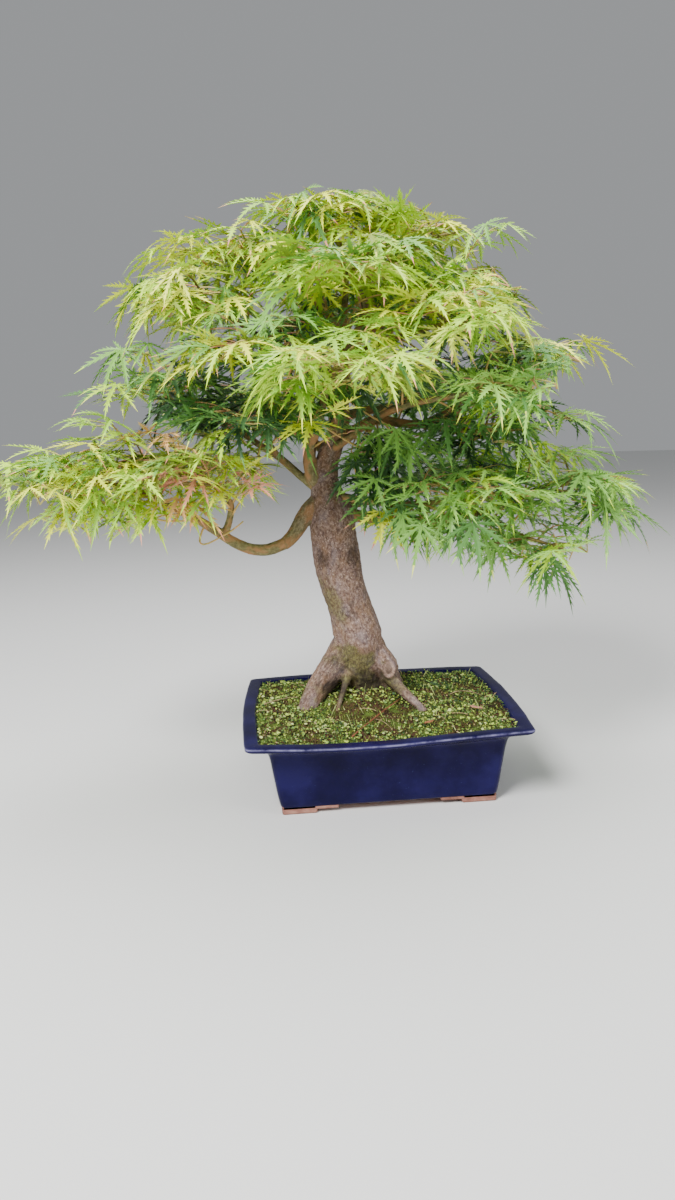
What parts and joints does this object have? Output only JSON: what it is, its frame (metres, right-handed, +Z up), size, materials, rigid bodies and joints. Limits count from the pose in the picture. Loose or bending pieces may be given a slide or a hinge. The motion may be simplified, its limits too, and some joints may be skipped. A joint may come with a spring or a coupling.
{
  "type": "potted bonsai tree",
  "caption": "Bonsai of a Japanese maple with palmate leaves, a stout tapering trunk on spreading roots, and a low bowed-rim glazed pot on corner feet, filled with mossy soil.",
  "frame": {"origin": "under the middle of the whole outline, on the surface that the pot's feet stand on", "axes": "+Z up, +X along the pot's long side to the right of its front, +Y towards the back"},
  "size_m": [0.7964, 0.4716, 0.6279],
  "materials": {
    "glazed_pot": "gloss",
    "soil": "matte",
    "moss": "matte",
    "trunk_bark": "rough",
    "bough_bark": "satin",
    "foliage": "satin"
  },
  "bodies": {
    "root": {"pot": "glazed_pot", "soil": "soil", "moss_mound": "moss", "trunk": "trunk_bark", "front_mid_bough": "bough_bark", "left_low_elbow": "bough_bark", "left_low_arm": "bough_bark", "left_low_fork": "bough_bark", "left_mid_bough": "bough_bark", "left_inner_bough": "bough_bark", "left_upper_bough": "bough_bark", "left_shoulder_bough": "bough_bark", "left_front_bough": "bough_bark", "right_shoulder_bough": "bough_bark", "right_upper_bough": "bough_bark", "right_mid_bough": "bough_bark", "right_inner_bough": "bough_bark", "right_front_bough": "bough_bark", "right_low_bough": "bough_bark", "right_low_inner_bough": "bough_bark", "right_hang_bough": "bough_bark", "front_upper_bough": "bough_bark", "right_front_upper_bough": "bough_bark", "back_left_bough": "bough_bark", "back_right_bough": "bough_bark", "back_upper_bough": "bough_bark", "back_low_bough": "bough_bark", "pruned_stub": "bough_bark", "left_tip_foliage": "foliage", "left_low_foliage": "foliage", "left_mid_foliage": "foliage", "left_inner_foliage": "foliage", "left_upper_foliage": "foliage", "left_shoulder_foliage": "foliage", "left_front_foliage": "foliage", "apex_foliage": "foliage", "right_shoulder_foliage": "foliage", "right_upper_foliage": "foliage", "right_mid_foliage": "foliage", "right_inner_foliage": "foliage", "right_front_foliage": "foliage", "right_low_foliage": "foliage", "right_low_inner_foliage": "foliage", "right_hang_foliage": "foliage", "front_mid_foliage": "foliage", "front_upper_foliage": "foliage", "right_front_upper_foliage": "foliage", "back_left_foliage": "foliage", "back_right_foliage": "foliage", "back_upper_foliage": "foliage", "back_low_foliage": "foliage"}
  },
  "joints": []
}
